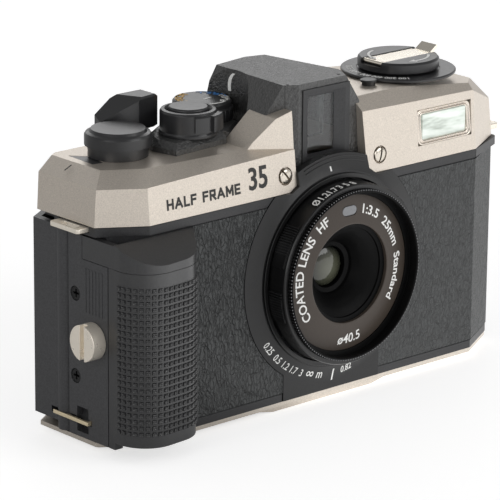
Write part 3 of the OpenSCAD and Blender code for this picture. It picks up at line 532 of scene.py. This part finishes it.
# Block capitals as pen strokes in a box one unit high: width, then strokes of (x, y) points.
STROKES = {
    "H": (0.78, [[(0, 0), (0, 1)], [(0.78, 0), (0.78, 1)], [(0, 0.5), (0.78, 0.5)]]),
    "A": (0.92, [[(0, 0), (0.46, 1)], [(0.46, 1), (0.92, 0)], [(0.17, 0.3), (0.75, 0.3)]]),
    "L": (0.6, [[(0, 0), (0, 1)], [(0, 0), (0.6, 0)]]),
    "F": (0.62, [[(0, 0), (0, 1)], [(0, 1), (0.62, 1)], [(0, 0.52), (0.55, 0.52)]]),
    "R": (0.7, [[(0, 0), (0, 1)], [(0, 1), (0.66, 1)], [(0.66, 1), (0.66, 0.46)],
                [(0.66, 0.46), (0, 0.46)], [(0.3, 0.46), (0.72, 0)]]),
    "M": (0.9, [[(0, 0), (0, 1)], [(0, 1), (0.45, 0.28)], [(0.45, 0.28), (0.9, 1)], [(0.9, 1), (0.9, 0)]]),
    "E": (0.62, [[(0, 0), (0, 1)], [(0, 1), (0.62, 1)], [(0, 0.5), (0.56, 0.5)], [(0, 0), (0.62, 0)]]),
    " ": (0.3, []),
}


def stroke_word(build, text, x, z, height, gap, pen, thick):
    """Raised block capitals on the front of the top cover, starting at x, z."""
    size = height - pen
    for letter in text:
        width, strokes = STROKES[letter]
        corner = Vector((x + pen / 2, 0, z + pen / 2))
        for k, ((ax, az), (bx, bz)) in enumerate(strokes):
            a = corner + Vector((ax, 0, az)) * size
            b = corner + Vector((bx, 0, bz)) * size
            along = (b - a).normalized() * pen / 2
            side = Vector((-along.z, 0, along.x))
            ends = [a - along - side, b + along - side, b + along + side, a - along + side]
            # each stroke is a little thicker than the last, so that no two tops share a plane
            build.prism([(v.x, cover_front(v.z) - COVER_GAP, v.z) for v in ends],
                        (0, -thick - 0.002 * k, 0))
        x += width * size + pen + gap


marks = Build()
stroke_word(marks, "HALF FRAME", x=-50.6, z=56.1, height=2.5, gap=0.34, pen=0.54, thick=0.05)
marks.make("cover_lettering", "dark_mark", "camera_body")


def on_cover(x, y, lift):
    """A point of the number on the top cover's front."""
    middle, base = -22.9, 56.4
    return (middle + x, cover_front(base + y) - COVER_GAP - lift, base + y)


marks = Build()
plate_letters(marks, "35", 5.1, on_cover, bold=0.13, thick=0.1, stretch=0.86)
marks.make("cover_number", "dark_mark", "camera_body")

# the film plane line on the shoulder at the grip end
marks = Build()
marks.prism([(-63.75, 6.45, 63.62), (-63.75, 6.8, 63.62), (-61.75, 6.8, 64.54), (-61.75, 6.45, 64.54)],
            (-0.03, 0, 0.06))
marks.make("film_plane_line", "dark_mark", "camera_body")


# ---------------------------------------------------------------- front screws

# Profile of a head, as (radius, height above the cover).
DOME = ((1.80, -0.4), (1.80, 0.12), (1.68, 0.30), (1.30, 0.48), (0.80, 0.58), (0.30, 0.61))


def domed_screw(build, x, z, turn):
    """A domed slotted head on the cover's front, made of two halves with the slot between."""
    slot, steps = 0.24, 20      # half the slot's width, and the steps round each half
    across = math.radians(turn)
    u = Vector((math.cos(across), 0, math.sin(across)))
    v = Vector((-math.sin(across), 0, math.cos(across)))
    for sign in (1, -1):
        rows = []
        for r, lift in DOME:
            start = math.asin(min(0.95, slot / r))
            centre = Vector((x, cover_front(z) - lift, z))
            angles = [start + (math.pi - 2 * start) * k / steps for k in range(steps + 1)]
            rows.append([centre + u * r * math.cos(a) + v * sign * max(slot, r * math.sin(a))
                         for a in angles])
        n = len(rows[0])
        faces = [(k * n + i, k * n + i + 1, (k + 1) * n + i + 1, (k + 1) * n + i)
                 for k in range(len(rows) - 1) for i in range(n - 1)]
        faces.append(tuple((len(rows) - 1) * n + i for i in range(n)))
        # the wall along the slot
        edge = [k * n for k in range(len(rows))] + [k * n + n - 1 for k in reversed(range(len(rows)))]
        faces.append(tuple(edge))
        build.add([p for row in rows for p in row], faces)


heads = Build()
domed_screw(heads, -14.4, 57.7, -52)
domed_screw(heads, 15.8, 57.7, 78)
head_piece = heads.make("front_screw_heads", "screw_metal", "camera_body")
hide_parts("front_screws")


# ---------------------------------------------------------------- flash frame

def rounded_box(x0, x1, z0, z1, r):
    """Rounded rectangle as (x, z) points."""
    steps = 6
    points = []
    for cx, cz, start in ((x1 - r, z1 - r, 0), (x0 + r, z1 - r, 90),
                          (x0 + r, z0 + r, 180), (x1 - r, z0 + r, 270)):
        for i in range(steps + 1):
            a = math.radians(start + 90 * i / steps)
            points.append((cx + r * math.cos(a), cz + r * math.sin(a)))
    return points


# The flash frame's outside, as x and z from and to, and its rings from the outside to the
# window, as (inset, height above the cover, corner radius).
FLASH_X, FLASH_Z = (28.45, 46.6), (57.5, 66.1)
FRAME_RINGS = ((0.0, -0.6, 1.5), (0.0, 0.10, 1.5), (0.16, 0.26, 1.4), (0.42, 0.28, 1.3),
               (0.58, 0.12, 1.2), (0.66, -0.02, 1.15), (0.86, -0.04, 1.05), (0.95, 0.14, 1.0),
               (1.10, 0.24, 0.95), (1.32, 0.22, 0.85), (1.46, 0.0, 0.8), (1.58, -0.9, 0.7))


def lofted_frame(name, look):
    """The stepped frame round the flash window."""
    build = Build()
    rows = []
    for inset, proud, r in FRAME_RINGS:
        drop = inset * 0.8
        outline = rounded_box(FLASH_X[0] + inset, FLASH_X[1] - inset, FLASH_Z[0] + drop,
                              FLASH_Z[1] - drop, r)
        rows.append([(x, cover_front(z) - proud, z) for x, z in outline])
    n = len(rows[0])
    faces = [(k * n + i, (k + 1) * n + i, (k + 1) * n + (i + 1) % n, k * n + (i + 1) % n)
             for k in range(len(rows) - 1) for i in range(n)]
    build.add([v for row in rows for v in row], faces)
    return build.make(name, look, "camera_body", smooth=True)


bezel = lofted_frame("flash_frame", "bezel_metal")
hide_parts("flash_bezel")


# ---------------------------------------------------------------- lens details

PANEL_BEND = (25.2, -14.75)     # radius and y of the bend in the panel's cone


def panel_surface(r):
    """y of the lens panel's face at radius r: steep inside the bend, flatter outside it."""
    bend_r, bend_y = PANEL_BEND
    if r > bend_r:
        return bend_y + (r - bend_r) / 2.8 * 0.65
    return bend_y - (bend_r - r) / 1.4 * 0.6


def panel_line(build, angle, radii, width, across):
    """A radial white line on the panel."""
    path = [around_lens(r, angle, panel_surface(r) - LIFT) for r in radii]
    build.ribbon(path, width, (0, -PRINT, 0), [across] * len(path))


scale = Build()
for word, angle in (("0.25", 217.0), ("0.5", 226.3), ("1.2", 233.4), ("1.7", 240.2), ("3", 246.6),
                    ("∞", 253.0), ("m", 260.2), ("0.82", 279.5)):
    plate_letters(scale, word, 2.3 if word in "∞m" else 1.75,
                  ring_place(26.75, angle, lambda r: panel_surface(r) - LIFT, inward=True),
                  bold=0.02, stretch=0.85)
panel_line(scale, 270.0, (24.9, 26.0, 27.9), 0.42, (1, 0, 0))
panel_line(scale, 94.5, (24.4, 24.9, 25.5), 0.45, (1, 0, 0.1))
scale.make("distance_scale", "white_mark", "camera_body")

# two fine ridges round the top of the panel, with their feet sunk into it
ridges = Build()
for radius in (26.4, 27.3):
    steps = [69 + i * 1.5 for i in range(29)]
    path = [around_lens(radius, a, panel_surface(radius) + 0.02) for a in steps]
    side = [(math.cos(math.radians(a)), 0, math.sin(math.radians(a))) for a in steps]
    ridges.ribbon(path, 0.25, (0, -0.2, 0), side)
ridges.make("panel_ridges", "panel_black", "camera_body")

RING_RIM, RING_BORE = (18.9, -18.95), (12.3, -20.0)     # radius and y of the beauty ring's edges


def ring_surface(r):
    """y of the beauty ring's face at radius r."""
    share = (RING_RIM[0] - r) / (RING_RIM[0] - RING_BORE[0])
    return RING_RIM[1] + share * (RING_BORE[1] - RING_RIM[1])


ring = Build()
for word, angle in (("COATED LENS  HF", 166.0), ("1:3.5  25mm  Standard", 21.0)):
    plate_letters(ring, word, 2.15, ring_place(14.7, angle, lambda r: ring_surface(r) - LIFT),
                  bold=0.05, stretch=1.02)
plate_letters(ring, "ø40.5", 2.4,
              ring_place(17.3, 272.0, lambda r: ring_surface(r) - LIFT, inward=True), bold=0.04)
ring.make("ring_lettering", "white_mark", "optics")


def toothed_ring(name, teeth, tip, root, inner, y0, y1, body, look):
    """A ring about the lens axis with straight teeth on its outside."""
    build = Build()
    tooth = ((0.0, root), (0.25, root), (0.375, tip), (0.625, tip), (0.75, root))
    outline = [(radius, 360 * (i + share) / teeth) for i in range(teeth) for share, radius in tooth]
    n = len(outline)
    rows = [[around_lens(r, a, y) for r, a in outline] for y in (y0, y1)]
    rows.append([around_lens(inner, a, y1) for _, a in outline])
    rows.append([around_lens(inner, a, y0) for _, a in outline])
    faces = []
    for k in range(4):
        a, b = k * n, (k + 1) % 4 * n
        faces += [(a + i, a + (i + 1) % n, b + (i + 1) % n, b + i) for i in range(n)]
    build.add([v for row in rows for v in row], faces)
    return build.make(name, look, body)


# the tips stay inside the focus ring's bore, which they enter when the lens draws in
toothed_ring("rim_knurling", 160, 20.72, 20.42, 20.3, -22.05, -21.12, "optics", "rim_metal")

FOCUS_R = 21.9                  # outer radius of the focus ring
RIB_ANGLE, RIB_HALF = 1.55, 0.48        # a rib's share of the pad and half its foot, in degrees

# ribbed finger pads on the focus ring
ribs = Build()
for start, stop in ((139, 158), (181, 198), (-6, 12), (30, 47)):
    count = int((stop - start) / RIB_ANGLE)
    for i in range(count):
        mid = start + (i + 0.5) * (stop - start) / count
        corners = ((FOCUS_R - 0.05, -RIB_HALF), (FOCUS_R + 0.4, -RIB_HALF * 0.6),
                   (FOCUS_R + 0.4, RIB_HALF * 0.6), (FOCUS_R - 0.05, RIB_HALF))
        ribs.prism([around_lens(r, mid + turn, -16.1) for r, turn in corners], (0, -4.1, 0))
# the ribs wear the lighter black, which paints their highlights
ribs.make("focus_ribs", "rib_black_painted_highlight", "focus")


def on_focus(x, y, lift, middle):
    """x runs clockwise round the ring, y towards the camera's back."""
    return around_lens(FOCUS_R + LIFT + lift, middle - math.degrees(x / FOCUS_R), y - 20.35)


# distances and their zone mark on top of the focus ring
zones = Build()
for word, angle in (("Ø", 119.0), ("1.2", 112.5), ("1.7", 105.0), ("3", 98.5), ("5", 93.0), ("8", 87.5)):
    plate_letters(zones, word, 2.1, lambda x, y, l, a=angle: on_focus(x, y, l, a), bold=0.05, stretch=0.8)
zones.make("zone_marks", "white_mark", "focus")


# ---------------------------------------------------------------- grip studs

# The pad's outline seen from above is two arcs: centre x and y, radius, from and to in degrees,
# and steps.
GRIP_ARCS = ((-58.4, -15.4, 8.05, 177.5, 268.2, 60), (-53.6, -15.1, 8.0, 266.5, 349.0, 90))
GRIP_FOOT, GRIP_HEIGHT = 7.05, 35.3


def grip_outline():
    """The grip pad's outline as (x, y, nx, ny), left to right, and the length up to each point."""
    curve = []
    for cx, cy, r, start, stop, steps in GRIP_ARCS:
        for i in range(steps + 1):
            a = math.radians(start + (stop - start) * i / steps)
            curve.append((cx + r * math.cos(a), cy + r * math.sin(a), math.cos(a), math.sin(a)))
    length = [0.0]
    for p, q in zip(curve, curve[1:]):
        length.append(length[-1] + math.hypot(q[0] - p[0], q[1] - p[1]))
    return curve, length


OUTLINE, LENGTH = grip_outline()


def on_grip(s, z, lift):
    """The point s along the outline, lifted off it."""
    s = min(max(s, 0.0), LENGTH[-1])
    i = max(1, next((k for k, v in enumerate(LENGTH) if v >= s), len(LENGTH) - 1))
    t = (s - LENGTH[i - 1]) / max(1e-9, LENGTH[i] - LENGTH[i - 1])
    x, y, nx, ny = [a + (b - a) * t for a, b in zip(OUTLINE[i - 1], OUTLINE[i])]
    return (x + nx * lift, y + ny * lift, z)


studs = Build()
COLUMNS, ROWS = 20, 24
CELL_S, CELL_Z = LENGTH[-1] / COLUMNS, GRIP_HEIGHT / ROWS
# Section of one dished stud, as (share of its cell, height).
PROFILE = ((0.0, 0.02), (0.14, 0.02), (0.24, 0.40), (0.33, 0.47), (0.5, 0.30), (0.67, 0.47),
           (0.76, 0.40), (0.86, 0.02), (1.0, 0.02))
n = len(PROFILE)
for col in range(COLUMNS):
    for row in range(ROWS):
        verts = [on_grip((col + u) * CELL_S, GRIP_FOOT + (row + v) * CELL_Z, min(hu, hv))
                 for v, hv in PROFILE for u, hu in PROFILE]
        studs.add(verts, [(i * n + k, i * n + k + 1, (i + 1) * n + k + 1, (i + 1) * n + k)
                          for i in range(n - 1) for k in range(n - 1)])
pad = studs.make("grip_studs", "grip_rubber", "camera_body")
weld = pad.modifiers.new("weld", "WELD")
weld.merge_threshold = 0.01 * MM
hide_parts("grip_pad")


# ---------------------------------------------------------------- dials

def around_dial(centre, radius, a, z):
    return (centre[0] + radius * math.cos(a), centre[1] + radius * math.sin(a), z)


def top_place(centre, radius, middle, z):
    """Text on a level dial, with its feet to the middle; middle is in degrees from +X."""
    def place(x, y, lift):
        return around_dial(centre, radius + y, math.radians(middle) - x / radius, z + lift)
    return place


def arc(build, centre, radius, start, stop, z, width):
    """A printed arc on a level dial."""
    steps = 24
    angles = [math.radians(start + (stop - start) * i / steps) for i in range(steps + 1)]
    build.ribbon([around_dial(centre, radius, a, z) for a in angles], width, (0, 0, PRINT),
                 [(math.cos(a), math.sin(a), 0) for a in angles])


def mode_marks(color, start, stop, height, radius, bold, words):
    """One colour of marks on the mode dial: an arc near its rim and letters inside the arc."""
    build = Build()
    arc(build, MODE, 6.1, start, stop, MODE_TOP, 0.5)
    for word, angle in words:
        plate_letters(build, word, height, top_place(MODE, radius, angle, MODE_TOP), bold=bold)
    if color == "white":
        # the pointer bar across the middle
        build.prism([(MODE[0] + x, MODE[1] + y, MODE_TOP)
                     for x, y in ((-0.5, -1.6), (2.2, -1.0), (2.1, -0.5), (-0.6, -1.1))], (0, 0, PRINT))
    build.make("mode_marks_" + color, color + "_mark", "mode")


iso = Build()
for word, angle in (("100", 233), ("200", 217), ("400", 201), ("800", 185), ("1600", 166), ("3200", 144)):
    plate_letters(iso, word, 1.55, top_place(KNOB, 11.25, angle, ISO_TOP), bold=0.04, stretch=0.84)
iso.make("iso_numbers", "white_mark", "iso")

ARROW_R = 7.3
arrows = Build()
for start, stop, angle, turn in ((105, 166, 170, 1), (262, 322, 255, -1)):
    arc(arrows, KNOB, ARROW_R, start, stop, KNOB_TOP, 0.62)
    a = math.radians(angle)
    c = Vector(around_dial(KNOB, ARROW_R, a, KNOB_TOP))
    out = Vector((math.cos(a), math.sin(a), 0))
    foot = Vector((-math.sin(a), math.cos(a), 0)) * turn
    arrows.prism([c + foot * 1.2, c - foot * 0.7 + out, c - foot * 0.7 - out], (0, 0, PRINT))
arrows.make("rewind_arrows", "white_mark", "rewind")

mode_marks("white", 205, 330, 1.7, 4.7, 0.03, (("P", 320), ("B", 296), ("M", 344)))
mode_marks("yellow", 95, 195, 1.9, 4.5, 0.05, (("F", 175), ("A", 152), ("C", 128), ("H", 106)))
mode_marks("blue", -22, 62, 1.9, 4.5, 0.05, (("B", 8), ("S", 30), ("T", 52)))

# White index line on the wall behind the mode dial, as (degrees round the recess, z).
RECESS, RECESS_R = (-21.0, 9.2), 11.28
INDEX_LINE = ((4.0, 77.0), (6.8, 76.5), (8.6, 76.0), (9.8, 75.5), (10.5, 75.0), (10.9, 74.4),
              (11.0, 73.8), (10.9, 73.2), (10.5, 72.6))
index = Build()
turns = [(math.radians(degrees), z) for degrees, z in INDEX_LINE]
index.ribbon([around_dial(RECESS, RECESS_R, a, z) for a, z in turns], 0.9, (-0.05, 0, 0),
             [(-math.sin(a), math.cos(a), 0) for a, _ in turns])
index.make("dial_index", "white_mark", "camera_body")


# ---------------------------------------------------------------- stage, light and camera

def floor_plane(name, half, material):
    """The level stage floor, half its side in metres."""
    mesh = bpy.data.meshes.new(name)
    mesh.from_pydata([(-half, -half, 0), (half, -half, 0), (half, half, 0), (-half, half, 0)],
                     [], [(0, 1, 2, 3)])
    obj = bpy.data.objects.new(name, mesh)
    mesh.materials.append(material)
    scene.collection.objects.link(obj)


floor_paint = Paint("studio_floor", (0.66, 0.66, 0.66), 0.8, specular=0.1)
floor_paint.set("Emission Color", (1, 1, 1, 1))
# The floor looks white to the lens. In reflections it glows only towards the front right, which
# lights the metal front and leaves the grip side dark.
SEEN_GLOW, BRIGHT_SIDE = 0.64, (0.64, -0.77, 0)
seen = floor_paint.nodes.new("ShaderNodeLightPath").outputs["Is Camera Ray"]
heading = floor_paint.nodes.new("ShaderNodeVectorMath")
heading.operation = "NORMALIZE"
floor_paint.links.new(floor_paint.coord, heading.inputs[0])
facing = floor_paint.nodes.new("ShaderNodeVectorMath")
facing.operation = "DOT_PRODUCT"
facing.inputs[1].default_value = BRIGHT_SIDE
floor_paint.links.new(heading.outputs[0], facing.inputs[0])
glow = floor_paint.nodes.new("ShaderNodeMapRange")
glow.interpolation_type = "SMOOTHSTEP"
for socket, value in (("From Min", -0.3), ("From Max", 0.8), ("To Min", 0.05), ("To Max", 0.95)):
    glow.inputs[socket].default_value = value
floor_paint.links.new(facing.outputs["Value"], glow.inputs["Value"])
unseen = floor_paint.math("MULTIPLY", floor_paint.math("SUBTRACT", 1.0, seen), glow.outputs[0])
floor_paint.links.new(floor_paint.math("MULTIPLY_ADD", seen, SEEN_GLOW, unseen),
                      floor_paint.bsdf.inputs["Emission Strength"])
floor_plane("studio_floor", 7, floor_paint.mat)


def softbox(name, place, aim, size, power):
    """A rectangular light at place, facing aim, in metres and watts."""
    data = bpy.data.lights.new(name, "AREA")
    data.shape = "RECTANGLE"
    data.size, data.size_y = size
    data.energy = power
    obj = bpy.data.objects.new(name, data)
    scene.collection.objects.link(obj)
    obj.location = place
    obj.rotation_mode = "QUATERNION"
    obj.rotation_quaternion = (Vector(place) - Vector(aim)).to_track_quat("Z", "Y")


softbox("key_left", (-0.95, -0.30, 0.45), (0, 0, 0.04), (0.6, 0.7), 2.4)
softbox("key_front", (0.55, -1.25, 0.75), (0, 0, 0.04), (1.0, 0.8), 6.5)
softbox("back_top", (0.75, 0.95, 0.62), (0, 0, 0.05), (0.9, 0.4), 2.0)

# the world is brightest below the horizon and dimmest overhead
world = bpy.data.worlds.new("studio")
scene.world = world
world.use_nodes = True
wn, wl = world.node_tree.nodes, world.node_tree.links
wn.clear()
out = wn.new("ShaderNodeOutputWorld")
back = wn.new("ShaderNodeBackground")
coord = wn.new("ShaderNodeTexCoord")
split = wn.new("ShaderNodeSeparateXYZ")
grade = wn.new("ShaderNodeValToRGB")
wl.new(coord.outputs["Generated"], split.inputs[0])
wl.new(split.outputs["Z"], grade.inputs["Fac"])
stops = grade.color_ramp.elements
stops.new(0.35)
stops.new(0.62)
for el, (pos, value) in zip(stops, ((0.0, 0.66), (0.25, 0.58), (0.55, 0.34), (1.0, 0.28))):
    el.position = pos
    el.color = (value, value, value, 1)
wl.new(grade.outputs["Color"], back.inputs["Color"])
back.inputs["Strength"].default_value = 1.0
wl.new(back.outputs[0], out.inputs["Surface"])

# The camera stands DISTANCE from AIM, at an azimuth from the front and an elevation in degrees.
AZIMUTH, ELEVATION, ROLL = -41.9241, 16.7808, 0.5059
AIM, DISTANCE = Vector((-23.396, -11.465, 41.297)) * MM, 784.84 * MM
camera_data = bpy.data.cameras.new("camera")
camera = bpy.data.objects.new("camera", camera_data)
scene.collection.objects.link(camera)
turn = (Matrix.Rotation(math.radians(AZIMUTH), 4, "Z")
        @ Matrix.Rotation(math.radians(90 - ELEVATION), 4, "X")
        @ Matrix.Rotation(math.radians(ROLL), 4, "Z"))
camera.matrix_world = Matrix.Translation(AIM) @ turn @ Matrix.Translation((0, 0, DISTANCE))
camera_data.sensor_width = 36
camera_data.lens = 243.73
camera_data.shift_x = -0.000227
camera_data.shift_y = -0.0013
camera_data.clip_start = 0.05
camera_data.clip_end = 50
scene.camera = camera
